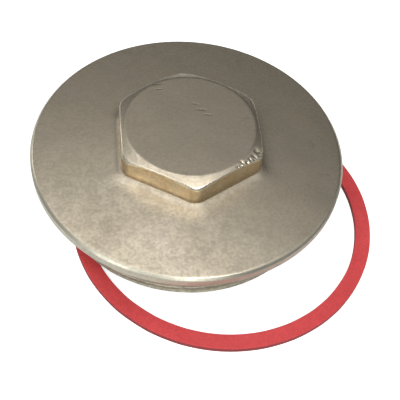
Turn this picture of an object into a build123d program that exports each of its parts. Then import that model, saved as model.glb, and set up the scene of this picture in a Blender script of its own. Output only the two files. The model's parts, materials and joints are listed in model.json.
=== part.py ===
"""Threaded brass plug for a tapped boss, with its loose flat sealing ring.

Millimetres, +Z up. The origin lies on the plug's axis, on the surface that the
ring rests on. The ring lies flat on that surface, slid to one side, and the
plug stands level on it with the end of its threaded spigot.
"""

import math
import os

from build123d import *

# Thread: G 2 1/4 parallel pipe thread, 11 turns to the inch.
THREAD_MAJOR_R = 32.855
THREAD_DEPTH = 1.479
THREAD_LENGTH = 6.9

# Spigot under the flange: relief groove, thread, lead-in chamfer.
RELIEF_WIDTH = 2.1
RELIEF_BELOW_ROOT = 0.221
LEAD_IN = 0.8
SPIGOT_WALL = 4.8
SPIGOT_DRAFT = 2.0
MOUTH_BREAK = 0.4

# Flange: a slightly crowned disc with a chamfered rim.
SEAT_WIDTH = 4.645
RIM_BAND = 2.0
RIM_CHAMFER = 0.65
CROWN_RISE = 1.2
UNDERSIDE_BREAK = 0.2
WEB_THICKNESS = 3.3
WEB_CORNER_R = 2.5

# Hexagon head.
HEX_ACROSS_FLATS = 32.6
HEX_HEIGHT = 6.7
HEX_CORNER_R = 3.5
HEX_FOOT_FILLET = 1.0
HEX_TOP_INSET = 0.95
HEX_CHAMFER_ANGLE = 24.0
HEX_TURN = 30.0

# Core that hollows the head from below, as such stampings have.
CORE_R = 10.5
CORE_DEPTH = 5.0
CORE_DRAFT = 6.0
CORE_CORNER_R = 1.5

# Sealing ring and where it lies.
RING_THICKNESS = 1.4
RING_WIDTH = 3.7
RING_BORE_CLEARANCE = 0.345
RING_EDGE_BREAK = 0.1
RING_SLIDE = 13.3
RING_SLIDE_DIRECTION = -50.1

# How near an edge must lie to the place it is looked for.
EDGE_MATCH = 0.01

# Sizes that follow from the ones above. The relief ends in a 45 degree slope.
RELIEF_DEPTH = THREAD_DEPTH + RELIEF_BELOW_ROOT
SPIGOT_LENGTH = RELIEF_WIDTH + RELIEF_DEPTH + THREAD_LENGTH + LEAD_IN
SPIGOT_BORE_R = THREAD_MAJOR_R - SPIGOT_WALL
FLANGE_R = THREAD_MAJOR_R + SEAT_WIDTH
RING_INNER_R = THREAD_MAJOR_R + RING_BORE_CLEARANCE

# Heights above the surface, from the spigot's end upwards.
SPIGOT_END_Z = RING_THICKNESS
SEAT_Z = SPIGOT_END_Z + SPIGOT_LENGTH
RIM_TOP_Z = SEAT_Z + RIM_BAND + RIM_CHAMFER
CROWN_TOP_Z = RIM_TOP_Z + CROWN_RISE
WEB_UNDERSIDE_Z = CROWN_TOP_Z - WEB_THICKNESS
CROWN_EDGE_R = FLANGE_R - RIM_CHAMFER


def crown_radius():
    """Radius of the sphere that the crowned face is a cap of."""
    return (CROWN_EDGE_R**2 + CROWN_RISE**2) / (2 * CROWN_RISE)


def crown_height(r):
    """Height of the crowned face at a distance from the axis."""
    sphere = crown_radius()
    return CROWN_TOP_Z - sphere + math.sqrt(sphere**2 - r**2)


HEX_FOOT_Z = crown_height(HEX_ACROSS_FLATS / 2)
HEX_TOP_Z = HEX_FOOT_Z + HEX_HEIGHT
HEX_TOP_R = HEX_ACROSS_FLATS / 2 - HEX_TOP_INSET


def nearest_vertex(section, r, z):
    """The corner of a half section that lies nearest to a radius and height."""
    return section.vertices().sort_by_distance((r, z, 0))[0]


def crown_and_spigot():
    """Flange, relief, spigot and the cup inside it, as one revolved section."""
    relief_r = THREAD_MAJOR_R - RELIEF_DEPTH
    thread_end_z = SPIGOT_END_Z + LEAD_IN
    thread_start_z = thread_end_z + THREAD_LENGTH
    cup_depth = WEB_UNDERSIDE_Z - SPIGOT_END_Z
    web_bore_r = SPIGOT_BORE_R - cup_depth * math.tan(math.radians(SPIGOT_DRAFT))
    mid_r = CROWN_EDGE_R / 2
    outer = [
        (CROWN_EDGE_R, RIM_TOP_Z),
        (FLANGE_R, RIM_TOP_Z - RIM_CHAMFER),
        (FLANGE_R, SEAT_Z + UNDERSIDE_BREAK),
        (FLANGE_R - UNDERSIDE_BREAK, SEAT_Z),
        (relief_r, SEAT_Z),
        (relief_r, SEAT_Z - RELIEF_WIDTH),
        (THREAD_MAJOR_R, thread_start_z),
        (THREAD_MAJOR_R, thread_end_z),
        (THREAD_MAJOR_R - LEAD_IN, SPIGOT_END_Z),
        (SPIGOT_BORE_R + MOUTH_BREAK, SPIGOT_END_Z),
        (SPIGOT_BORE_R, SPIGOT_END_Z + MOUTH_BREAK),
        (web_bore_r, WEB_UNDERSIDE_Z),
        (0, WEB_UNDERSIDE_Z),
        (0, CROWN_TOP_Z),
    ]
    with BuildPart() as body:
        with BuildSketch(Plane.XZ) as section:
            with BuildLine():
                Polyline(*outer)
                ThreePointArc((0, CROWN_TOP_Z), (mid_r, crown_height(mid_r)), (CROWN_EDGE_R, RIM_TOP_Z))
            make_face()
            fillet(nearest_vertex(section, web_bore_r, WEB_UNDERSIDE_Z), WEB_CORNER_R)
        revolve(axis=Axis.Z)
    return body.part


def hexagon_head():
    """Hexagon with rounded corners, cut at the top by the turned chamfer cone."""
    sink = CROWN_TOP_Z - HEX_FOOT_Z + WEB_THICKNESS / 2
    reach = HEX_ACROSS_FLATS
    cone_drop = (reach - HEX_TOP_R) * math.tan(math.radians(HEX_CHAMFER_ANGLE))
    with BuildPart() as head:
        with BuildSketch(Plane.XY.offset(HEX_TOP_Z)):
            hexagon = RegularPolygon(HEX_ACROSS_FLATS / 2, 6, major_radius=False, rotation=HEX_TURN)
            fillet(hexagon.vertices(), HEX_CORNER_R)
        extrude(amount=-(HEX_HEIGHT + sink))
        with BuildSketch(Plane.XZ):
            Polygon(
                (0, HEX_TOP_Z),
                (HEX_TOP_R, HEX_TOP_Z),
                (reach, HEX_TOP_Z - cone_drop),
                (reach, -reach),
                (0, -reach),
                align=None,
            )
        revolve(axis=Axis.Z, mode=Mode.INTERSECT)
    return head.part


def head_core():
    """Tapered hollow with a rounded roof, cut into the head from the cup."""
    roof_r = CORE_R - CORE_DEPTH * math.tan(math.radians(CORE_DRAFT))
    with BuildPart() as core:
        with BuildSketch(Plane.XZ) as section:
            Polygon(
                (0, WEB_UNDERSIDE_Z),
                (CORE_R, WEB_UNDERSIDE_Z),
                (roof_r, WEB_UNDERSIDE_Z + CORE_DEPTH),
                (0, WEB_UNDERSIDE_Z + CORE_DEPTH),
                align=None,
            )
            fillet(nearest_vertex(section, roof_r, WEB_UNDERSIDE_Z + CORE_DEPTH), CORE_CORNER_R)
        revolve(axis=Axis.Z)
    return core.part


def is_foot_edge(edge):
    """True for the edges where the hexagon meets the crowned face."""
    middle = edge @ 0.5
    corner_r = HEX_ACROSS_FLATS / math.sqrt(3)
    distance = math.hypot(middle.X, middle.Y)
    near_hexagon = HEX_ACROSS_FLATS / 2 - EDGE_MATCH < distance < corner_r
    return near_hexagon and abs(middle.Z - crown_height(distance)) < EDGE_MATCH


def plug_body():
    """The whole brass plug in one solid."""
    blank = crown_and_spigot() + hexagon_head() - head_core()
    foot = blank.edges().filter_by(is_foot_edge)
    return fillet(foot, HEX_FOOT_FILLET)


def sealing_ring():
    """Flat cut ring, slid aside on the surface under the plug."""
    direction = math.radians(RING_SLIDE_DIRECTION)
    with BuildPart() as ring:
        with BuildSketch(Plane.XZ) as section:
            with Locations((RING_INNER_R, 0)):
                Rectangle(RING_WIDTH, RING_THICKNESS, align=(Align.MIN, Align.MIN))
            chamfer(section.vertices(), RING_EDGE_BREAK)
        revolve(axis=Axis.Z)
    return Pos(RING_SLIDE * math.cos(direction), RING_SLIDE * math.sin(direction), 0) * ring.part


def write_parts():
    """Write one file per piece, named after the piece."""
    os.makedirs("parts", exist_ok=True)
    for name, shape in (("plug_body", plug_body()), ("sealing_ring", sealing_ring())):
        export_step(shape, f"parts/{name}.step")


write_parts()
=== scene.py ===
"""Looks of a threaded brass plug and its red sealing ring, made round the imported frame.

Shapes are worked out in millimetres on the plug's own axis, which is the frame's Z axis,
and each finished mesh is turned to metres in place.
"""

import json
import logging
import math
from dataclasses import dataclass
from enum import Enum
from random import Random

import bmesh
import bpy
import numpy as np
from mathutils import Matrix, Vector, noise


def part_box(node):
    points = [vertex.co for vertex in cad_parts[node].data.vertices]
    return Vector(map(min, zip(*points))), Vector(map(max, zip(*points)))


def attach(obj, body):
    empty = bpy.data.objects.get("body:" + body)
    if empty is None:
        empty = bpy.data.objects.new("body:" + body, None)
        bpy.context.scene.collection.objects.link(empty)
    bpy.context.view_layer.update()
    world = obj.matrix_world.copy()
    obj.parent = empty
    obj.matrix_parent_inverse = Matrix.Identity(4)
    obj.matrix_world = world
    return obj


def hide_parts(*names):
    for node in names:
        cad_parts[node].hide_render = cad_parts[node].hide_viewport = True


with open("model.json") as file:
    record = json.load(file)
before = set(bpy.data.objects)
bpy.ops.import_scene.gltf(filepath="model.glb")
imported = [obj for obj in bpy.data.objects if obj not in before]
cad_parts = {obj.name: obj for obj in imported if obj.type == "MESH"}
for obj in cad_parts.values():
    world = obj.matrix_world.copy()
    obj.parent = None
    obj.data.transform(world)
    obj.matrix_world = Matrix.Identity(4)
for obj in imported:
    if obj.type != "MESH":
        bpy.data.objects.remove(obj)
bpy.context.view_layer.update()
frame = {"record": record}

LOG = logging.getLogger("brass_plug")
MM = 0.001
BODY = "root"
SMOOTH_ANGLE = 40.0
FAR = 1000.0

Colour = tuple[float, float, float, float]
Piece = bpy.types.Object
Socket = bpy.types.NodeSocket
Given = bpy.types.NodeOutputs


class Slot(Enum):
    """Material slots that the record names."""

    BRASS = "brass"
    SEAL = "red_seal"


class Zone(Enum):
    """Parts of the plug's skin that were worked in their own way."""

    STAMPED = 0
    FLATS = 1
    TURNED = 2
    SPIGOT = 3


class Course(Enum):
    """How the section runs from one corner to the next."""

    STRAIGHT = "straight"
    CROWNED = "crowned"
    THREADED = "threaded"


@dataclass(frozen=True)
class FrameSizes:
    """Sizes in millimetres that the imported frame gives."""

    flange_r: float
    end_z: float
    top_z: float
    seat_z: float
    thread_r: float
    half_flats: float
    seal_centre: tuple[float, float]
    seal_outer_r: float
    seal_thickness: float

    @classmethod
    def read(cls) -> "FrameSizes":
        """Read the mounts and the nodes' boxes.

        Returns:
            The sizes, ready to build on.
        """
        mounts = {mount["name"]: mount for mount in frame["record"]["mounts"]}
        plug_low, plug_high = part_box("plug_body")
        seal_low, seal_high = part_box("sealing_ring")
        centre = (seal_low + seal_high) / 2
        return cls(
            flange_r=plug_high.x / MM,
            end_z=plug_low.z / MM,
            top_z=plug_high.z / MM,
            seat_z=mounts["seat_face"]["pos_m"][2] / MM,
            thread_r=mounts["thread"]["dims"]["r_mm"],
            half_flats=abs(mounts["spanner_flat_a"]["pos_m"][0]) / MM,
            seal_centre=(centre.x / MM, centre.y / MM),
            seal_outer_r=(seal_high.x - seal_low.x) / 2 / MM,
            seal_thickness=seal_high.z / MM,
        )


def polar(angle: float, r: float, z: float) -> Vector:
    """Point at an angle in degrees, a radius and a height."""
    turn = math.radians(angle)
    return Vector((r * math.cos(turn), r * math.sin(turn), z))


def deselect() -> None:
    """Leave edit mode and select nothing."""
    if bpy.context.object and bpy.context.object.mode != "OBJECT":
        bpy.ops.object.mode_set(mode="OBJECT")
    bpy.ops.object.select_all(action="DESELECT")


def ring_numbers(piece: Piece) -> np.ndarray:
    """Number of the ring that each vertex of a skin belongs to."""
    numbers = np.empty(len(piece.data.vertices), dtype=np.int32)
    piece.data.attributes["ring"].data.foreach_get("value", numbers)
    return numbers


def mark(piece: Piece, name: str, amount: np.ndarray) -> None:
    """Write an amount from 0 to 1 on each vertex for the finishes to read, such as its wear and its painted
    crease shade.
    """
    layer = piece.data.attributes.new(name, "FLOAT", "POINT")
    layer.data.foreach_set("value", amount.astype(np.float32))


def dress(piece: Piece, finishes: list[bpy.types.Material], node: str) -> None:
    """Give a piece its finishes and tie it to the frame.

    Args:
        piece: The finished mesh.
        finishes: Materials in the order of the faces' numbers.
        node: The node that the piece stands for.
    """
    for finish in finishes:
        piece.data.materials.append(finish)
    deselect()
    piece.select_set(True)
    bpy.context.view_layer.objects.active = piece
    bpy.ops.object.shade_smooth_by_angle(angle=math.radians(SMOOTH_ANGLE))
    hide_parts(node)
    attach(piece, BODY)


@dataclass
class RingStack:
    """A skin drawn ring by ring, each ring extruded from the one before it.

    The rings are an array of rings, columns and coordinates, in millimetres.
    """

    name: str
    rings: np.ndarray
    ends_meet: bool = False

    def build(self) -> Piece:
        """Extrude the rings from a circle, close the skin and turn it to metres.

        Returns:
            The closed piece, with its place in its mesh.
        """
        deselect()
        count = self.rings.shape[1]
        bpy.ops.mesh.primitive_circle_add(vertices=count, radius=1.0, enter_editmode=True)
        piece = bpy.context.object
        piece.name = piece.data.name = self.name
        mesh = bmesh.from_edit_mesh(piece.data)
        for key in ("column", "ring"):
            mesh.verts.layers.int.new(key)
        mesh.verts.ensure_lookup_table()
        column = mesh.verts.layers.int["column"]
        for index, vert in enumerate(mesh.verts):
            vert[column] = index
        self._place(piece, 0)
        for number in range(1, len(self.rings)):
            bpy.ops.mesh.extrude_region()
            self._place(piece, number)
        self._close(piece)
        bpy.ops.object.mode_set(mode="OBJECT")
        piece.data.transform(Matrix.Scale(MM, 4))
        LOG.info("%s: %d rings of %d columns", self.name, len(self.rings), count)
        return piece

    def _place(self, piece: Piece, number: int) -> None:
        """Put the selected ring's vertices in their places."""
        mesh = bmesh.from_edit_mesh(piece.data)
        column, ring = (mesh.verts.layers.int[key] for key in ("column", "ring"))
        places = self.rings[number].tolist()
        mesh.verts.ensure_lookup_table()
        for vert in mesh.verts[-len(places):]:
            vert.co = places[vert[column]]
            vert[ring] = number
        bmesh.update_edit_mesh(piece.data, loop_triangles=False)

    def _close(self, piece: Piece) -> None:
        """Bridge the last ring to the first, or draw each of them in to a pole."""
        last = len(self.rings) - 1
        if self.ends_meet:
            self._select_rings(piece, (0, last))
            bpy.ops.mesh.bridge_edge_loops()
        else:
            for number in (0, last):
                self._select_rings(piece, (number,))
                bpy.ops.mesh.extrude_region()
                bpy.ops.mesh.merge(type="CENTER")
        bpy.ops.mesh.select_all(action="SELECT")
        bpy.ops.mesh.normals_make_consistent(inside=False)

    @staticmethod
    def _select_rings(piece: Piece, numbers: tuple[int, ...]) -> None:
        """Select the open edges of some rings."""
        bpy.ops.mesh.select_all(action="DESELECT")
        mesh = bmesh.from_edit_mesh(piece.data)
        ring = mesh.verts.layers.int["ring"]
        for edge in mesh.edges:
            if edge.is_boundary and all(vert[ring] in numbers for vert in edge.verts):
                edge.select = True
        mesh.select_flush(True)
        bmesh.update_edit_mesh(piece.data, loop_triangles=False)


@dataclass
class Corner:
    """A corner of the section and the run that leaves it.

    Radius and height hold one value for each column of the skin. The soft radius
    rounds the corner in arc_rings rings, and the run after it has run_rings rings.
    """

    r: np.ndarray
    z: np.ndarray
    soft: float | np.ndarray
    arc_rings: int
    run_rings: int
    zone: Zone
    wear: float = 0.0
    grime: float = 0.0
    wave: float = 0.0
    course: Course = Course.STRAIGHT


@dataclass
class Ring:
    """One ring of the skin: its place in each column, its zone, its wear, its painted crease shade and its
    wave height.
    """

    r: np.ndarray
    z: np.ndarray
    zone: Zone
    wear: float
    grime: float
    wave: float


@dataclass(frozen=True)
class Nick:
    """A small bruise beside the head's chamfer.

    The angle is in degrees. The drop is how far its middle lies below the chamfer's
    lower edge, and width, height and depth are its size in millimetres.
    """

    angle: float
    drop: float
    width: float
    height: float
    depth: float


@dataclass
class PlugBody:
    """The one-piece brass plug: head, crowned flange, threaded spigot and cup."""

    sizes: FrameSizes
    rim_band: float = 2.0
    rim_chamfer: float = 0.65
    crown_rise: float = 1.2
    web: float = 3.3
    web_corner_r: float = 2.5
    hex_corner_r: float = 3.5
    hex_foot_fillet: float = 0.35
    foot_sweep: float = 0.5
    foot_sweep_reach: float = 0.9
    hex_top_inset: float = 0.84
    hex_chamfer_angle: float = 24.0
    flat_angle: float = 60.0
    core_r: float = 10.5
    core_depth: float = 5.0
    core_draft: float = 6.0
    core_corner_r: float = 1.5
    core_mouth_r: float = 0.4
    thread_pitch: float = 2.309
    thread_depth: float = 1.479
    thread_round: float = 0.317
    thread_half_angle: float = 27.5
    relief_depth: float = 1.7
    relief_width: float = 2.1
    lead_in: float = 0.8
    spigot_wall: float = 4.8
    spigot_draft: float = 2.0
    mouth_break: float = 0.4
    soft_edge: float = 0.32
    top_soft: float = 1.8
    soft_at_corners: float = 0.9
    rim_roll: float = 0.9
    rim_edge: float = 0.2
    top_edge_swell: float = 0.1
    small_soft: float = 0.1
    pole_r: float = 0.15
    crowding: float = 0.55
    wear_fade: float = 12.0
    grime_fade: float = 8.0
    foot_grime_fade: float = 40.0
    fine_from: float = 305.0
    fine_to: float = 337.0
    fine_step: float = 0.35
    plain_step: float = 1.2
    wave_length: float = 7.0
    seed: int = 7
    nicks_from: float = 306.0
    nicks_to: float = 332.0
    nick_count: int = 13
    nick_ranges: tuple[tuple[float, float], ...] = ((-0.1, -1.4), (0.16, 0.32), (0.25, 0.6), (0.1, 0.26))

    def __post_init__(self) -> None:
        """Work out the heights and radii that follow from the sizes."""
        s = self.sizes
        self.rim_top_z = s.seat_z + self.rim_band + self.rim_chamfer
        self.crown_top_z = self.rim_top_z + self.crown_rise
        self.crown_edge_r = s.flange_r - self.rim_chamfer
        self.crown_sphere = (self.crown_edge_r**2 + self.crown_rise**2) / (2 * self.crown_rise)
        self.web_z = self.crown_top_z - self.web
        self.top_r = s.half_flats - self.hex_top_inset
        self.relief_r = s.thread_r - self.relief_depth
        self.angles = self._column_angles()

    def _column_angles(self) -> np.ndarray:
        """Angles in degrees of the skin's columns, finer where the head is bruised."""
        bruised = self.fine_to - self.fine_from
        fine_count = round(bruised / self.fine_step)
        plain_count = round((360 - bruised) / self.plain_step)
        fine = self.fine_from + np.arange(fine_count) * bruised / fine_count
        plain = self.fine_to + np.arange(plain_count) * (360 - bruised) / plain_count
        return np.concatenate([fine, plain])

    def hex_radius(self) -> np.ndarray:
        """Distance from the axis to the hexagon's outline, for each column."""
        half, corner = self.sizes.half_flats, self.hex_corner_r
        half_turn = math.radians(self.flat_angle / 2)
        from_flat = (self.angles + self.flat_angle / 2) % self.flat_angle - self.flat_angle / 2
        turn = np.radians(np.abs(from_flat))
        flat_end = (half - corner) * math.tan(half_turn)
        centre = (half - corner) / math.cos(half_turn)
        from_corner = half_turn - turn
        reach = centre * np.cos(from_corner)
        rounded = reach + np.sqrt(np.maximum(corner**2 - (centre * np.sin(from_corner)) ** 2, 0))
        return np.where(half * np.tan(turn) <= flat_end, half / np.cos(turn), rounded)

    def chamfer_foot(self) -> np.ndarray:
        """Height of the head chamfer's lower edge, for each column."""
        slope = math.tan(math.radians(self.hex_chamfer_angle))
        return self.sizes.top_z - (self.hex_radius() - self.top_r) * slope

    def crown_height(self, r: np.ndarray) -> np.ndarray:
        """Height of the crowned face at a distance from the axis."""
        return self.crown_top_z - self.crown_sphere + np.sqrt(self.crown_sphere**2 - r**2)

    def corners(self) -> list[Corner]:
        """List the section's corners from the top of the head down to the cup.

        Returns:
            The corners, each with one radius and height for every column.
        """
        s = self.sizes
        same = np.ones(len(self.angles))
        hex_r = self.hex_radius()
        edge_z = self.chamfer_foot()
        at_corner = (1 - np.cos(np.radians(self.angles * 360 / self.flat_angle))) / 2
        edge_r = self.top_r + self.top_edge_swell * (at_corner - 0.5)
        edge_soft = self.soft_edge + (self.soft_at_corners - self.soft_edge) * at_corner**2
        bore_r = s.thread_r - self.spigot_wall
        web_r = bore_r - (self.web_z - s.end_z) * math.tan(math.radians(self.spigot_draft))
        roof_r = self.core_r - self.core_depth * math.tan(math.radians(self.core_draft))

        def at(r: float, z: float, soft: float, arcs: int, runs: int, zone: Zone, **rest: object) -> Corner:
            """Corner that is the same all round."""
            return Corner(r * same, z * same, soft, arcs, runs, zone, **rest)

        return [
            at(self.pole_r, s.top_z, 0, 1, 16, Zone.STAMPED, wave=0.03),
            Corner(edge_r, s.top_z * same, self.top_soft, 6, 8, Zone.STAMPED, wear=0.5, wave=0.02),
            Corner(hex_r, edge_z, edge_soft, 6, 14, Zone.FLATS, wear=1.0, wave=0.02),
            # The hex foot's crease gets painted shade, which fades out across the crown.
            Corner(hex_r, self.crown_height(hex_r) + self.foot_sweep, self.hex_foot_fillet, 6, 36,
                   Zone.STAMPED, grime=1.0, wave=0.035, course=Course.CROWNED),
            at(self.crown_edge_r, self.rim_top_z, self.rim_roll, 10, 1, Zone.TURNED, wear=0.5, wave=0.01),
            at(s.flange_r, self.rim_top_z - self.rim_chamfer, self.rim_edge, 4, 4, Zone.TURNED,
               wear=0.6, wave=0.01),
            at(s.flange_r, s.seat_z, self.soft_edge, 4, 6, Zone.TURNED, wear=0.4),
            # The relief groove under the seat gets painted shade.
            at(self.relief_r, s.seat_z, self.small_soft, 3, 4, Zone.SPIGOT, grime=0.7),
            at(self.relief_r, s.seat_z - self.relief_width, 0, 1, 60, Zone.SPIGOT,
               wear=0.2, course=Course.THREADED),
            at(s.thread_r - self.lead_in, s.end_z, 0, 1, 4, Zone.TURNED),
            at(bore_r + self.mouth_break, s.end_z, self.small_soft, 2, 2, Zone.TURNED),
            at(bore_r, s.end_z + self.mouth_break, self.small_soft, 2, 8, Zone.STAMPED, wave=0.02),
            at(web_r, self.web_z, self.web_corner_r, 8, 8, Zone.STAMPED, wave=0.03),
            at(self.core_r, self.web_z, self.core_mouth_r, 4, 4, Zone.STAMPED, wave=0.02),
            at(roof_r, self.web_z + self.core_depth, self.core_corner_r, 6, 6, Zone.STAMPED, wave=0.02),
            at(self.pole_r, self.web_z + self.core_depth, 0, 1, 1, Zone.STAMPED),
        ]

    def thread_radius(self, z: np.ndarray) -> np.ndarray:
        """Radius of the cut thread, its run-out and its lead-in.

        Args:
            z: Height in each column.

        Returns:
            The radius in each column.
        """
        s = self.sizes
        start_z = s.seat_z - self.relief_width
        envelope = np.minimum(self.relief_r + (start_z - z), s.thread_r)
        envelope = np.minimum(envelope, s.thread_r - self.lead_in + (z - s.end_z))
        turns = (z / self.thread_pitch - self.angles / 360) % 1.0
        from_crest = np.minimum(turns, 1 - turns) * self.thread_pitch
        half_angle = math.radians(self.thread_half_angle)
        half_pitch = self.thread_pitch / 2
        apex = s.thread_r + (half_pitch / math.tan(half_angle) - self.thread_depth) / 2
        flank = apex - from_crest / math.tan(half_angle)
        crest_arc = s.thread_r - self.thread_round
        root_arc = s.thread_r - self.thread_depth + self.thread_round
        reach = self.thread_round * math.cos(half_angle)
        crest = crest_arc + np.sqrt(np.maximum(self.thread_round**2 - from_crest**2, 0))
        to_root = half_pitch - from_crest
        root = root_arc - np.sqrt(np.maximum(self.thread_round**2 - to_root**2, 0))
        helix = np.where(from_crest < reach, crest, np.where(to_root < reach, root, flank))
        return np.minimum(envelope, helix)

    def section(self) -> list[Ring]:
        """Sample the section in every column.

        Returns:
            The rings, from the middle of the head's top to the middle of the core.
        """
        corners = self.corners()
        spans: list[tuple[np.ndarray, np.ndarray]] = []
        for index, corner in enumerate(corners):
            if np.any(corner.soft) and 0 < index < len(corners) - 1:
                spans.append(self._arc(corners[index - 1], corner, corners[index + 1]))
            else:
                spans.append((corner.r[None], corner.z[None]))
        rings: list[Ring] = []
        for index, corner in enumerate(corners):
            before = corners[index - 1] if index else corner
            arc_r, arc_z = spans[index]
            for step in range(len(arc_r)):
                share = step / max(len(arc_r) - 1, 1)
                zone = before.zone if share < 0.5 else corner.zone
                rings.append(Ring(arc_r[step], arc_z[step], zone, corner.wear, corner.grime,
                                  min(before.wave, corner.wave)))
            if index + 1 < len(corners):
                start = np.array([arc_r[-1], arc_z[-1]])
                end = np.array([spans[index + 1][0][0], spans[index + 1][1][0]])
                rings += self._run(corner, corners[index + 1], start, end)
        return rings

    def _run(self, corner: Corner, after: Corner, start: np.ndarray, end: np.ndarray) -> list[Ring]:
        """Sample the run between two corners.

        Args:
            corner: The corner that the run leaves.
            after: The corner that it comes to.
            start: Radius and height of its start, for every column.
            end: Radius and height of its end.

        Returns:
            The rings between the two.
        """
        rings: list[Ring] = []
        for share in self._run_shares(corner):
            r, z = start + (end - start) * share
            wear = self._faded(corner.wear, after.wear, self.wear_fade, share)
            # Painted crease shade fades away from the corners that carry it, like the wear.
            grime = self._faded(corner.grime, after.grime, self.grime_fade, share)
            if corner.course is Course.CROWNED:
                sweep = np.exp((start[0] - r) / self.foot_sweep_reach) - (1 - share)
                z = z + (r - start[0]) * (end[0] - r) / (2 * self.crown_sphere) + self.foot_sweep * sweep
                grime = self._faded(corner.grime, 0.0, self.foot_grime_fade, share)
            if corner.course is Course.THREADED:
                r = self.thread_radius(z)
                wear = corner.wear
            rings.append(Ring(r, z, corner.zone, wear, grime, corner.wave))
        return rings

    @staticmethod
    def _faded(near: float, far: float, fade: float, share: float) -> float:
        """Amount that fades away from both ends of a run."""
        return max(near * (1 - fade * share), far * (1 - fade * (1 - share)), 0.0)

    def _run_shares(self, corner: Corner) -> np.ndarray:
        """Shares of the way along a run, closer together near its ends."""
        even = np.arange(1, corner.run_rings + 1) / (corner.run_rings + 1)
        if corner.course is Course.THREADED:
            return even
        return even - self.crowding * np.sin(2 * np.pi * even) / (2 * np.pi)

    @staticmethod
    def _arc(before: Corner, corner: Corner, after: Corner) -> tuple[np.ndarray, np.ndarray]:
        """Round a corner in every column.

        Args:
            before: The corner before it.
            corner: The corner to round.
            after: The corner after it.

        Returns:
            Radii and heights of the arc's rings.
        """
        here = np.array([corner.r, corner.z])
        back = np.array([before.r, before.z]) - here
        on = np.array([after.r, after.z]) - here
        back = back / np.linalg.norm(back, axis=0)
        on = on / np.linalg.norm(on, axis=0)
        half = np.arccos(np.clip((back * on).sum(axis=0), -1, 1)) / 2
        tangent = corner.soft / np.tan(half)
        middle = (back + on) / np.linalg.norm(back + on, axis=0)
        centre = here + middle * corner.soft / np.sin(half)
        start, end = here + back * tangent, here + on * tangent
        first = np.arctan2(*(start - centre)[::-1])
        swing = np.arctan2(*(end - centre)[::-1]) - first
        swing = (swing + np.pi) % (2 * np.pi) - np.pi
        steps = np.linspace(0, 1, corner.arc_rings + 1)[:, None]
        angle = first + swing * steps
        return centre[0] + corner.soft * np.cos(angle), centre[1] + corner.soft * np.sin(angle)

    def build(self) -> Piece:
        """Make the whole skin of the plug, with its waviness and bruises.

        Returns:
            The closed piece.
        """
        rings = self.section()
        turn = np.radians(self.angles)
        places = [np.stack([ring.r * np.cos(turn), ring.r * np.sin(turn), ring.z], axis=-1)
                  for ring in rings]
        piece = RingStack("plug_body_skin", np.array(places)).build()
        number = ring_numbers(piece)
        for face in piece.data.polygons:
            face.material_index = rings[min(number[list(face.vertices)])].zone.value
        for name in ("wear", "grime"):
            mark(piece, name, np.array([getattr(ring, name) for ring in rings])[number])
        self._weather(piece, np.array([ring.wave for ring in rings])[number])
        return piece

    def dress(self, piece: Piece) -> None:
        """Give the skin one finish for each zone and tie it to the frame."""
        dress(piece, [BRASS[zone].material() for zone in Zone], "plug_body")

    def nicks(self) -> list[Nick]:
        """List the bruises: a ragged row along the chamfer, and a few wider dents."""
        draw = Random(self.seed)
        found = [
            Nick(angle=325.5, drop=-1.5, width=0.5, height=0.4, depth=0.2),
            Nick(angle=330.5, drop=-1.7, width=0.6, height=0.5, depth=0.25),
            Nick(angle=333.5, drop=0.3, width=0.4, height=0.8, depth=0.2),
        ]
        first, last = self.nicks_from, self.nicks_to
        for number in range(self.nick_count):
            share = (number + draw.uniform(0.0, 1.0)) / self.nick_count
            sizes = (draw.uniform(*limits) for limits in self.nick_ranges)
            found.append(Nick(first + share * (last - first), *sizes))
        return found

    def _weather(self, piece: Piece, waves: np.ndarray) -> None:
        """Push the skin in and out: gentle waves all over and the bruises on the head.

        Args:
            piece: The plug's skin, in metres.
            waves: Height in millimetres of the waves, for each vertex.
        """
        mesh = piece.data
        flat = np.empty(len(mesh.vertices) * 3)
        mesh.vertices.foreach_get("co", flat)
        places = flat.reshape(-1, 3) / MM
        normals = np.array([tuple(vert.normal) for vert in mesh.vertices])
        lift = np.zeros(len(places))
        for index in np.flatnonzero(waves):
            lift[index] = waves[index] * noise.noise(Vector(places[index] / self.wave_length))
        angle = np.degrees(np.arctan2(places[:, 1], places[:, 0])) % 360
        r = np.hypot(places[:, 0], places[:, 1])
        order = np.argsort(self.angles % 360)
        edge_r, edge_z = (np.interp(angle, self.angles[order] % 360, line[order])
                          for line in (self.hex_radius(), self.chamfer_foot()))
        slope = math.radians(self.hex_chamfer_angle)
        for nick in self.nicks():
            up = max(-nick.drop, 0.0)
            nick_r = edge_r - up * math.cos(slope)
            nick_z = edge_z - max(nick.drop, 0.0) + up * math.sin(slope)
            along = np.radians(angle - nick.angle) * r / nick.width
            across = np.hypot(r - nick_r, places[:, 2] - nick_z) / nick.height
            lift -= nick.depth * np.exp(-(along**2) - across**2)
        moved = (places + normals * lift[:, None]) * MM
        mesh.vertices.foreach_set("co", moved.ravel())
        mesh.update()


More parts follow.
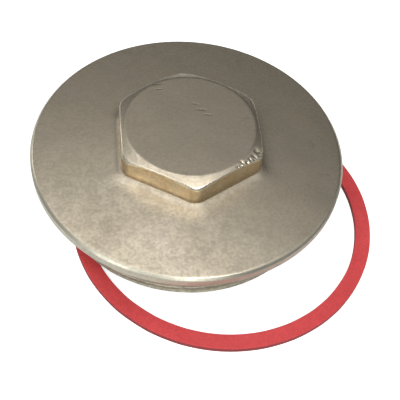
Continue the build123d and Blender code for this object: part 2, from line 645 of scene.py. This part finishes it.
@dataclass
class SealingRing:
    """The flat red sealing ring that lies under the plug."""

    sizes: FrameSizes
    width: float = 3.7
    edge_round: float = 0.15
    columns: int = 480
    arc_steps: int = 3
    run_shares: tuple[float, ...] = (0.04, 0.2, 0.4, 0.6, 0.8, 0.96)
    wave: float = 0.09
    waves_round: float = 5.0
    wave_level: float = 0.3

    def build(self) -> Piece:
        """Make the ring's skin.

        Returns:
            The closed piece.
        """
        s = self.sizes
        section, cut = self._section()
        turn = np.linspace(0, 2 * np.pi, self.columns, endpoint=False)
        drift = [noise.noise(Vector((math.cos(t), math.sin(t), self.wave_level)) * self.waves_round)
                 for t in turn]
        inset = self.wave * np.abs(drift)
        x, y = s.seal_centre
        rings = [np.stack([x + (r - inset) * np.cos(turn), y + (r - inset) * np.sin(turn),
                           np.full_like(turn, z)], axis=-1) for r, z in section]
        piece = RingStack("sealing_ring_skin", np.array(rings), ends_meet=True).build()
        number = ring_numbers(piece)
        mark(piece, "wear", np.array(cut)[number])
        return piece

    def dress(self, piece: Piece) -> None:
        """Give the skin its sheet finish and tie it to the frame."""
        dress(piece, [SEAL_SHEET.material()], "sealing_ring")

    def _section(self) -> tuple[list[tuple[float, float]], list[float]]:
        """Go round the ring's oblong section.

        Returns:
            Its points as radius and height, and how much each lies on a cut edge.
        """
        soft, outer, top = self.edge_round, self.sizes.seal_outer_r, self.sizes.seal_thickness
        inner = outer - self.width
        points: list[tuple[float, float]] = []
        cut: list[float] = []
        centres = ((outer - soft, top - soft), (inner + soft, top - soft),
                   (inner + soft, soft), (outer - soft, soft))
        for index, (r, z) in enumerate(centres):
            for step in range(self.arc_steps + 1):
                share = step / self.arc_steps
                angle = math.radians(90 * (index + share))
                points.append((r + soft * math.cos(angle), z + soft * math.sin(angle)))
                cut.append(share if index % 2 else 1 - share)
            next_r, next_z = centres[(index + 1) % 4]
            end_r, end_z = next_r + soft * math.cos(angle), next_z + soft * math.sin(angle)
            last_r, last_z = points[-1]
            for share in self.run_shares:
                points.append((last_r + (end_r - last_r) * share, last_z + (end_z - last_z) * share))
                cut.append(float(index % 2))
        return points, cut


@dataclass
class Wiring:
    """Places and links the nodes of one tree."""

    tree: bpy.types.NodeTree

    def add(self, kind: str, **settings: object) -> bpy.types.Node:
        """Place a node and set its options, or its inputs where a key names one.

        Args:
            kind: The node's type, without its ShaderNode prefix.
            **settings: Options by their name in lower case, inputs by their label.

        Returns:
            The new node.
        """
        node = self.tree.nodes.new("ShaderNode" + kind)
        for key, value in settings.items():
            if hasattr(node, key):
                setattr(node, key, value)
            else:
                self.feed(node, key.replace("_", " "), value)
        return node

    def feed(self, node: bpy.types.Node, label: str | int, value: object) -> None:
        """Link an output to an input, or set the input's own value."""
        if isinstance(value, Socket):
            self.tree.links.new(value, node.inputs[label])
        else:
            node.inputs[label].default_value = value

    def sum(self, *values: object, how: str = "ADD") -> Socket:
        """Join values in turn by a sum of the given kind."""
        total = values[0]
        for value in values[1:]:
            node = self.add("Math", operation=how)
            self.feed(node, 0, total)
            self.feed(node, 1, value)
            total = node.outputs[0]
        return total

    def times(self, *values: object) -> Socket:
        """Multiply values."""
        return self.sum(*values, how="MULTIPLY")

    def ramp(self, value: object, low: float, high: float, to_low: float = 0.0, to_high: float = 1.0,
             smooth: bool = True) -> Socket:
        """Bring a value from one range to another, held at its ends."""
        kind = "SMOOTHSTEP" if smooth else "LINEAR"
        node = self.add("MapRange", interpolation_type=kind, From_Min=low, From_Max=high,
                        To_Min=to_low, To_Max=to_high, Value=value)
        return node.outputs["Result"]

    def blend(self, share: object, first: object, second: object, how: str = "MIX") -> Socket:
        """Blend two colours."""
        node = self.add("Mix", data_type="RGBA", blend_type=how)
        self.feed(node, 0, share)
        self.feed(node, 6, first)
        self.feed(node, 7, second)
        return node.outputs[2]

    def darken(self, colour: object, shade: object) -> Socket:
        """Multiply a colour by a grey shade."""
        grey = self.add("CombineColor")
        for channel in range(3):
            self.feed(grey, channel, shade)
        return self.blend(1.0, colour, grey.outputs[0], how="MULTIPLY")

    def around(self, middle: float, value: object, swing: float) -> Socket:
        """Let a value from 0 to 1 swing a number to both sides."""
        return self.ramp(value, 0.0, 1.0, middle - swing, middle + swing, smooth=False)

    def speckle(self, place: object, scale: float | Socket, detail: float = 3.0,
                roughness: float = 0.6, distortion: float = 0.0) -> Socket:
        """Noise between 0 and 1 with so many spots to the millimetre."""
        node = self.add("TexNoise", Vector=place, Scale=scale, Detail=detail, Roughness=roughness,
                        Distortion=distortion)
        return node.outputs["Fac"]

    def patches(self, place: object, scale: float, cover: object, cut: tuple[float, float],
                **texture: float) -> Socket:
        """Soft patches of a noise that a cover widens, cut off between two values."""
        return self.ramp(self.sum(self.speckle(place, scale, **texture), cover), *cut)

    def dim(self, shade: object, mask: object, depth: float) -> Socket:
        """Bring a shade down to a share of itself where a mask is 1."""
        return self.times(shade, self.ramp(mask, 0.0, 1.0, 1.0, depth))

    def bump(self, shader: bpy.types.Node, height: object) -> None:
        """Feed a height in millimetres to a shader's normal."""
        self.feed(shader, "Normal", self.add("Bump", Distance=MM, Height=height).outputs[0])

    def stretched(self, place: object, turn: float, scale: tuple[float, float, float]) -> Socket:
        """Turn a place round the plug's axis in degrees and stretch it."""
        node = self.add("Mapping", Vector=place, Rotation=(0, 0, math.radians(turn)), Scale=scale)
        return node.outputs[0]


def new_finish(name: str) -> tuple[bpy.types.Material, Wiring, bpy.types.Node]:
    """Start a material: itself, its wiring and its shader."""
    made = bpy.data.materials.new(name)
    made.use_nodes = True
    return made, Wiring(made.node_tree), made.node_tree.nodes["Principled BSDF"]


class Effect:
    """A surface effect kept as a node group, built once and placed in each finish."""

    name = ""
    colours: tuple[str, ...] = ()
    takes: dict[str, float] = {}
    gives: tuple[str, ...] = ()

    def group(self) -> bpy.types.NodeTree:
        """Find the effect's group, or build it."""
        made = bpy.data.node_groups.get(self.name)
        if made:
            return made
        made = bpy.data.node_groups.new(self.name, "ShaderNodeTree")
        made.interface.new_socket("Place", in_out="INPUT", socket_type="NodeSocketVector")
        for label in self.colours:
            made.interface.new_socket(label, in_out="INPUT", socket_type="NodeSocketColor")
        for label, value in self.takes.items():
            socket = made.interface.new_socket(label, in_out="INPUT", socket_type="NodeSocketFloat")
            socket.default_value = value
        for label in self.gives:
            kind = "Color" if label == "Colour" else "Float"
            made.interface.new_socket(label, in_out="OUTPUT", socket_type="NodeSocket" + kind)
        wiring = Wiring(made)
        source, sink = made.nodes.new("NodeGroupInput"), made.nodes.new("NodeGroupOutput")
        for label, value in self.wire(wiring, source.outputs).items():
            made.links.new(value, sink.inputs[label])
        return made

    def wire(self, wiring: Wiring, given: Given) -> dict[str, Socket]:
        """Build the effect between its inputs and outputs."""
        raise NotImplementedError

    def place(self, wiring: Wiring, **values: object) -> Given:
        """Put the effect in a material with its own values.

        Args:
            wiring: The material's tree.
            **values: The effect's inputs by label, with spaces as underscores.

        Returns:
            The outputs of the placed effect.
        """
        node = wiring.tree.nodes.new("ShaderNodeGroup")
        node.node_tree = self.group()
        for key, value in values.items():
            wiring.feed(node, key.replace("_", " "), value)
        return node.outputs


class Grain(Effect):
    """Fine grain of a hot stamping: small speckles over wider soft spots."""

    name = "grain"
    takes = {"Spots": 1.2, "Relief": 0.01}
    gives = ("Height", "Speckle")
    wide = 0.3
    fine_share = 0.6
    cut = (0.35, 0.65)

    def wire(self, wiring: Wiring, given: Given) -> dict[str, Socket]:
        """Mix a fine and a wide noise."""
        fine = wiring.speckle(given["Place"], given["Spots"], detail=3.0, roughness=0.55)
        spots = wiring.times(given["Spots"], self.wide)
        broad = wiring.speckle(given["Place"], spots, detail=2.0)
        both = wiring.sum(wiring.times(fine, self.fine_share), wiring.times(broad, 1 - self.fine_share))
        return {"Height": wiring.times(both, given["Relief"]), "Speckle": wiring.ramp(both, *self.cut)}


class Pits(Effect):
    """Shallow dimples of uneven outline, in loose clusters."""

    name = "pits"
    takes = {"Spots": 0.55, "Cover": 0.3, "Depth": 0.03}
    gives = ("Height", "Mask")
    blob_cut = (0.52, 0.75)
    cluster_scale = 0.11
    cluster_cut = (0.75, 0.95)

    def wire(self, wiring: Wiring, given: Given) -> dict[str, Socket]:
        """Cut blobs out of a fine noise, where a wide one lets them."""
        place = given["Place"]
        blobs = wiring.ramp(wiring.speckle(place, given["Spots"], detail=1.0), *self.blob_cut)
        inside = wiring.patches(place, self.cluster_scale, given["Cover"], self.cluster_cut, detail=1.0)
        mask = wiring.times(blobs, inside)
        return {"Height": wiring.times(mask, given["Depth"], -1.0), "Mask": mask}


class Scratches(Effect):
    """Short fine scratches that lie two ways."""

    name = "scratches"
    takes = {"Cover": 0.3, "Depth": 0.01}
    gives = ("Height", "Mask")
    turns = (-14.0, 38.0)
    stretch = (0.22, 3.4, 0.6)
    line_cut = (0.66, 0.74)
    patch_scale = 0.16
    patch_shift = 0.001
    patch_cut = (0.72, 0.86)

    def wire(self, wiring: Wiring, given: Given) -> dict[str, Socket]:
        """Cut thin streaks out of a stretched noise, in patches."""
        streaks = []
        for turn in self.turns:
            place = wiring.stretched(given["Place"], turn, self.stretch)
            lines = wiring.ramp(wiring.speckle(place, 1.0, detail=1.0), *self.line_cut)
            scale = self.patch_scale + turn * self.patch_shift
            inside = wiring.patches(given["Place"], scale, given["Cover"], self.patch_cut, detail=1.0)
            streaks.append(wiring.times(lines, inside))
        mask = wiring.sum(*streaks, how="MAXIMUM")
        return {"Height": wiring.times(mask, given["Depth"], -1.0), "Mask": mask}


@dataclass(frozen=True)
class Mark:
    """A short dark mark hammered into the head's top: its middle, length, width and turn in degrees."""

    x: float
    y: float
    length: float
    width: float
    turn: float
    soft: tuple[float, float] = (0.45, 1.1)

    def mask(self, wiring: Wiring, place: Socket) -> Socket:
        """Mask that is 1 inside the mark."""
        local = wiring.add("Mapping", vector_type="TEXTURE", Vector=place, Location=(self.x, self.y, 0),
                           Rotation=(0, 0, math.radians(self.turn)),
                           Scale=(self.length / 2, self.width / 2, FAR))
        reach = wiring.add("VectorMath", operation="LENGTH")
        wiring.feed(reach, 0, local.outputs[0])
        return wiring.ramp(reach.outputs["Value"], *self.soft, 1.0, 0.0)


class Tarnish(Effect):
    """Soft patches where the metal has dulled and browned."""

    name = "tarnish"
    colours = ("Clean", "Dull", "Warm")
    takes = {"Dullness": 0.5, "Warmth": 0.5}
    gives = ("Colour", "Mask")
    dull_scale = 0.07
    dull_cut = (0.75, 1.25)
    warm_scale = 0.34
    warm_cut = (0.8, 1.2)

    def wire(self, wiring: Wiring, given: Given) -> dict[str, Socket]:
        """Blend three colours by two wide noises."""
        place = given["Place"]
        dull = wiring.patches(place, self.dull_scale, given["Dullness"], self.dull_cut,
                              detail=4.0, roughness=0.65, distortion=0.4)
        warm = wiring.patches(place, self.warm_scale, given["Warmth"], self.warm_cut)
        colour = wiring.blend(warm, given["Clean"], given["Warm"])
        return {"Colour": wiring.blend(dull, colour, given["Dull"]), "Mask": dull}


class EdgeWear(Effect):
    """Rubbed metal along the edges, broken up by a fine noise."""

    name = "edge_wear"
    takes = {"Wear": 0.0, "Reach": 0.3}
    gives = ("Mask",)
    scale = 1.3
    cut = (0.35, 0.8)

    def wire(self, wiring: Wiring, given: Given) -> dict[str, Socket]:
        """Shift the wear by noise and cut it off."""
        broken = wiring.sum(wiring.speckle(given["Place"], self.scale), given["Reach"])
        return {"Mask": wiring.ramp(wiring.times(broken, given["Wear"]), *self.cut)}


class Turning(Effect):
    """Fine lines that a lathe tool leaves round the axis."""

    name = "turning"
    takes = {"Lines": 4.0, "Relief": 0.004}
    gives = ("Height",)

    def wire(self, wiring: Wiring, given: Given) -> dict[str, Socket]:
        """Lay a noise along the radius and the height only."""
        x, y, z = wiring.add("SeparateXYZ", Vector=given["Place"]).outputs
        radius = wiring.sum(wiring.times(x, x), wiring.times(y, y))
        radius = wiring.sum(radius, 0.5, how="POWER")
        section = wiring.add("CombineXYZ", X=radius, Y=z)
        line = wiring.speckle(section.outputs[0], given["Lines"], detail=2.0, roughness=0.7)
        return {"Height": wiring.times(line, given["Relief"])}


@dataclass(frozen=True)
class BrassFinish:
    """Brass with its grain, tarnish, pits, scratches, tool lines and rubbed edges.

    Lengths are in millimetres, and counts are spots or lines to the millimetre.
    """

    name: str
    clean: Colour
    dull: Colour
    warm: Colour
    rubbed: Colour
    roughness: float
    dullness: float = 0.4
    warmth: float = 0.3
    grain: float = 1.3
    grain_relief: float = 0.012
    speckle: float = 0.22
    pit_cover: float = 0.35
    pit_depth: float = 0.03
    scratch_cover: float = 0.1
    scratch_depth: float = 0.006
    line_relief: float = 0.0
    rub_reach: float = 0.3
    rub_polish: float = 0.08
    metallic: float = 1.0
    # Share of the colour left where the painted crease shade is full.
    grime_shade: float = 0.96
    pit_shade: float = 0.85
    scratch_shade: float = 0.72
    hammer_shade: float = 0.62
    hammer_depth: float = 0.02
    rough_swing: float = 0.04
    dull_rough: float = 0.08
    grime_rough: float = 0.1
    hammered: tuple[Mark, ...] = ()

    def material(self) -> bpy.types.Material:
        """Build the material."""
        made, wiring, shader = new_finish(self.name)
        shader.inputs["Metallic"].default_value = self.metallic
        place = object_place(wiring)
        grain = Grain().place(wiring, Place=place, Spots=self.grain, Relief=self.grain_relief)
        pits = Pits().place(wiring, Place=place, Cover=self.pit_cover, Depth=self.pit_depth)
        marks = Scratches().place(wiring, Place=place, Cover=self.scratch_cover, Depth=self.scratch_depth)
        lines = Turning().place(wiring, Place=place, Relief=self.line_relief)
        tarnish = Tarnish().place(wiring, Place=place, Clean=self.clean, Dull=self.dull, Warm=self.warm,
                                  Dullness=self.dullness, Warmth=self.warmth)
        wear = wiring.add("Attribute", attribute_name="wear").outputs["Fac"]
        grime = wiring.add("Attribute", attribute_name="grime").outputs["Fac"]
        edge = EdgeWear().place(wiring, Place=place, Wear=wear, Reach=self.rub_reach)
        shade = wiring.ramp(grain["Speckle"], 0.0, 1.0, 1 - self.speckle, 1.0, smooth=False)
        shade = wiring.dim(shade, pits["Mask"], self.pit_shade)
        shade = wiring.dim(shade, marks["Mask"], self.scratch_shade)
        height = wiring.sum(grain["Height"], pits["Height"], marks["Height"], lines["Height"])
        if self.hammered:
            hammered = wiring.sum(0.0, *(mark.mask(wiring, place) for mark in self.hammered), how="MAXIMUM")
            shade = wiring.dim(shade, hammered, self.hammer_shade)
            height = wiring.sum(height, wiring.times(hammered, -self.hammer_depth))
        # Painted shade: the colour dims in the crease at the hex foot and in the relief groove.
        shade = wiring.dim(shade, grime, self.grime_shade)
        colour = wiring.darken(tarnish["Colour"], shade)
        wiring.feed(shader, "Base Color", wiring.blend(edge["Mask"], colour, self.rubbed))
        rough = wiring.around(self.roughness, grain["Speckle"], -self.rough_swing)
        rough = wiring.sum(rough, wiring.times(tarnish["Mask"], self.dull_rough))
        rough = wiring.sum(rough, wiring.times(grime, self.grime_rough))
        rough = wiring.sum(rough, wiring.times(edge["Mask"], self.rub_polish), how="SUBTRACT")
        wiring.feed(shader, "Roughness", rough)
        wiring.bump(shader, height)
        return made


@dataclass(frozen=True)
class SealFinish:
    """Red gasket sheet: matte and mottled on its faces, darker where it was cut."""

    name: str
    red: Colour
    faded: Colour
    cut_edge: Colour
    roughness: float = 0.55
    grain: float = 2.2
    relief: float = 0.012
    specular: float = 0.35
    dullness: float = 0.45
    warmth: float = 0.3
    rub_reach: float = 0.4
    speckle: float = 0.14
    rough_swing: float = 0.06

    def material(self) -> bpy.types.Material:
        """Build the material."""
        made, wiring, shader = new_finish(self.name)
        shader.inputs["Specular IOR Level"].default_value = self.specular
        place = object_place(wiring)
        grain = Grain().place(wiring, Place=place, Spots=self.grain, Relief=self.relief)
        tarnish = Tarnish().place(wiring, Place=place, Clean=self.red, Dull=self.faded, Warm=self.red,
                                  Dullness=self.dullness, Warmth=self.warmth)
        wear = wiring.add("Attribute", attribute_name="wear").outputs["Fac"]
        edge = EdgeWear().place(wiring, Place=place, Wear=wear, Reach=self.rub_reach)
        shade = wiring.ramp(grain["Speckle"], 0.0, 1.0, 1 - self.speckle, 1.0, smooth=False)
        colour = wiring.darken(tarnish["Colour"], shade)
        wiring.feed(shader, "Base Color", wiring.blend(edge["Mask"], colour, self.cut_edge))
        wiring.feed(shader, "Roughness", wiring.around(self.roughness, grain["Speckle"], -self.rough_swing))
        wiring.bump(shader, grain["Height"])
        return made


def object_place(wiring: Wiring) -> Socket:
    """Place on the piece in millimetres, from its own coordinates."""
    coords = wiring.add("TexCoord").outputs["Object"]
    return wiring.add("Mapping", Vector=coords, Scale=(1 / MM, 1 / MM, 1 / MM)).outputs[0]


HEAD_MARKS = (
    Mark(-7.0, 13.2, length=3.4, width=0.7, turn=12),
    Mark(-6.5, 11.6, length=2.4, width=0.5, turn=8),
    Mark(3.0, 4.6, length=3.2, width=0.6, turn=-4),
    Mark(1.6, 6.6, length=2.2, width=0.5, turn=-8),
    Mark(4.4, 3.0, length=2.6, width=0.5, turn=-6),
)
BRASS = {
    Zone.STAMPED: BrassFinish(
        "brass_stamped", clean=(0.785, 0.69, 0.54, 1), dull=(0.66, 0.575, 0.425, 1),
        warm=(0.76, 0.655, 0.495, 1), rubbed=(0.82, 0.75, 0.60, 1), roughness=0.31, grain=1.4,
        grain_relief=0.022, speckle=0.24, pit_cover=0.2, pit_depth=0.012, metallic=0.94,
        hammered=HEAD_MARKS),
    Zone.FLATS: BrassFinish(
        "brass_flats", clean=(0.72, 0.61, 0.43, 1), dull=(0.63, 0.53, 0.35, 1), warm=(0.72, 0.56, 0.36, 1),
        rubbed=(0.82, 0.75, 0.58, 1), roughness=0.44, dullness=0.3, warmth=0.5, pit_cover=0.15, speckle=0.2,
        scratch_cover=0.2, grain_relief=0.03),
    Zone.TURNED: BrassFinish(
        "brass_turned", clean=(0.73, 0.70, 0.57, 1), dull=(0.58, 0.54, 0.42, 1), warm=(0.71, 0.65, 0.50, 1),
        rubbed=(0.84, 0.79, 0.65, 1), roughness=0.34, dullness=0.25, grain_relief=0.008, speckle=0.14,
        pit_cover=0.1, scratch_cover=0.05, line_relief=0.006, metallic=0.92),
    # Darker than the turned brass: painted shade of the flange over the thread, on a rougher finish.
    Zone.SPIGOT: BrassFinish(
        "brass_thread_painted_shade", clean=(0.62, 0.58, 0.46, 1), dull=(0.45, 0.41, 0.31, 1), warm=(0.55, 0.48, 0.35, 1),
        rubbed=(0.66, 0.61, 0.48, 1), roughness=0.44, dullness=0.5, speckle=0.3, line_relief=0.006,
        metallic=0.9),
}
SEAL_SHEET = SealFinish("red_gasket_sheet", red=(0.92, 0.10, 0.105, 1), faded=(0.80, 0.078, 0.083, 1),
                        cut_edge=(0.36, 0.05, 0.055, 1))


@dataclass(frozen=True)
class SoftLamp:
    """A soft round lamp far away: where it is, its bright middle, its faint rim and its light.

    All angles are in degrees, and inner and outer are measured from the lamp's middle.
    """

    azimuth: float
    elevation: float
    inner: float
    outer: float
    light: float


@dataclass(frozen=True)
class Studio:
    """White table, a tent of soft lamps and the camera, in millimetres and degrees."""

    aim: tuple[float, float, float] = (1.601, -14.309, 12.9)
    distance: float = 185.98
    azimuth: float = -101.29
    elevation: float = 52.79
    roll: float = 7.18
    lens: float = 72.0
    sensor: float = 36.0
    clip: tuple[float, float] = (0.01, 20.0)
    table_size: float = 800.0
    table_grey: float = 0.88
    table_roughness: float = 0.9
    table_glow: float = 0.8
    room: float = 0.07
    lamps: tuple[SoftLamp, ...] = (
        SoftLamp(165, 81, inner=30, outer=34.5, light=0.97),
        SoftLamp(80, 42, inner=8, outer=22, light=0.06),
        SoftLamp(92, 73, inner=5, outer=12, light=0.75),
        SoftLamp(-72, 62, inner=4, outer=10, light=9.0),
        SoftLamp(-140, 33, inner=6, outer=18, light=2.4),
        SoftLamp(-90, 36, inner=6, outer=18, light=2.6),
        SoftLamp(-145, 35, inner=20, outer=50, light=0.25),
        SoftLamp(-15, 48, inner=15, outer=38, light=0.38),
        SoftLamp(150, 33, inner=10, outer=58, light=0.12),
        SoftLamp(142, 20, inner=4, outer=14, light=2.0),
    )

    def camera(self) -> None:
        """Set the camera at the photograph's angle."""
        data = bpy.data.cameras.new("camera")
        data.lens, data.sensor_width = self.lens, self.sensor
        data.clip_start, data.clip_end = self.clip
        camera = bpy.data.objects.new("camera", data)
        bpy.context.scene.collection.objects.link(camera)
        flat = self.distance * math.cos(math.radians(self.elevation))
        rise = self.distance * math.sin(math.radians(self.elevation))
        aim = Vector(self.aim)
        place = aim + polar(self.azimuth, flat, rise)
        ahead = (aim - place).normalized()
        level = ahead.cross(Vector((0, 0, 1))).normalized()
        upright = level.cross(ahead)
        roll = math.radians(self.roll)
        up = upright * math.cos(roll) - level * math.sin(roll)
        right = level * math.cos(roll) + upright * math.sin(roll)
        turn = Matrix((right, up, -ahead)).transposed().to_4x4()
        camera.matrix_world = Matrix.Translation(place * MM) @ turn
        bpy.context.scene.camera = camera

    def table(self) -> None:
        """Lay the white table, which glows a little so that it shows as plain white."""
        deselect()
        bpy.ops.mesh.primitive_plane_add(size=self.table_size * MM, location=(0, 0, 0))
        table = bpy.context.object
        table.name = "table"
        made, wiring, shader = new_finish("white_table")
        grey = self.table_grey
        for label, value in (("Base Color", (grey, grey, grey, 1)), ("Roughness", self.table_roughness),
                             ("Specular IOR Level", 0.0), ("Emission Color", (1, 1, 1, 1))):
            shader.inputs[label].default_value = value
        seen = wiring.add("LightPath").outputs["Is Camera Ray"]
        wiring.feed(shader, "Emission Strength", wiring.times(seen, self.table_glow))
        table.data.materials.append(made)

    def light(self) -> None:
        """Light the room with the lamps, and show white behind the table."""
        world = bpy.data.worlds.new("room")
        bpy.context.scene.world = world
        world.use_nodes = True
        wiring = Wiring(world.node_tree)
        world.node_tree.nodes.clear()
        ahead = wiring.add("TexCoord").outputs["Generated"]
        total = self.room
        for lamp in self.lamps:
            rise = math.radians(lamp.elevation)
            dot = wiring.add("VectorMath", operation="DOT_PRODUCT")
            wiring.feed(dot, 0, ahead)
            wiring.feed(dot, 1, polar(lamp.azimuth, math.cos(rise), math.sin(rise)))
            edge, middle = math.cos(math.radians(lamp.outer)), math.cos(math.radians(lamp.inner))
            total = wiring.sum(wiring.ramp(dot.outputs["Value"], edge, middle, 0.0, lamp.light), total)
        seen = wiring.add("LightPath").outputs["Is Camera Ray"]
        shown = wiring.sum(total, seen, how="MAXIMUM")
        back = wiring.add("Background", Color=(1, 1, 1, 1), Strength=shown)
        wiring.add("OutputWorld", Surface=back.outputs[0])


def main() -> None:
    """Build the plug, the ring and the studio."""
    logging.basicConfig(level=logging.INFO, format="%(message)s")
    sizes = FrameSizes.read()
    LOG.info("%s", sizes)
    for part in (PlugBody(sizes), SealingRing(sizes)):
        part.dress(part.build())
    studio = Studio()
    studio.table()
    studio.light()
    studio.camera()
    bpy.context.scene.view_settings.view_transform = "Standard"


if __name__ == "__main__":
    main()
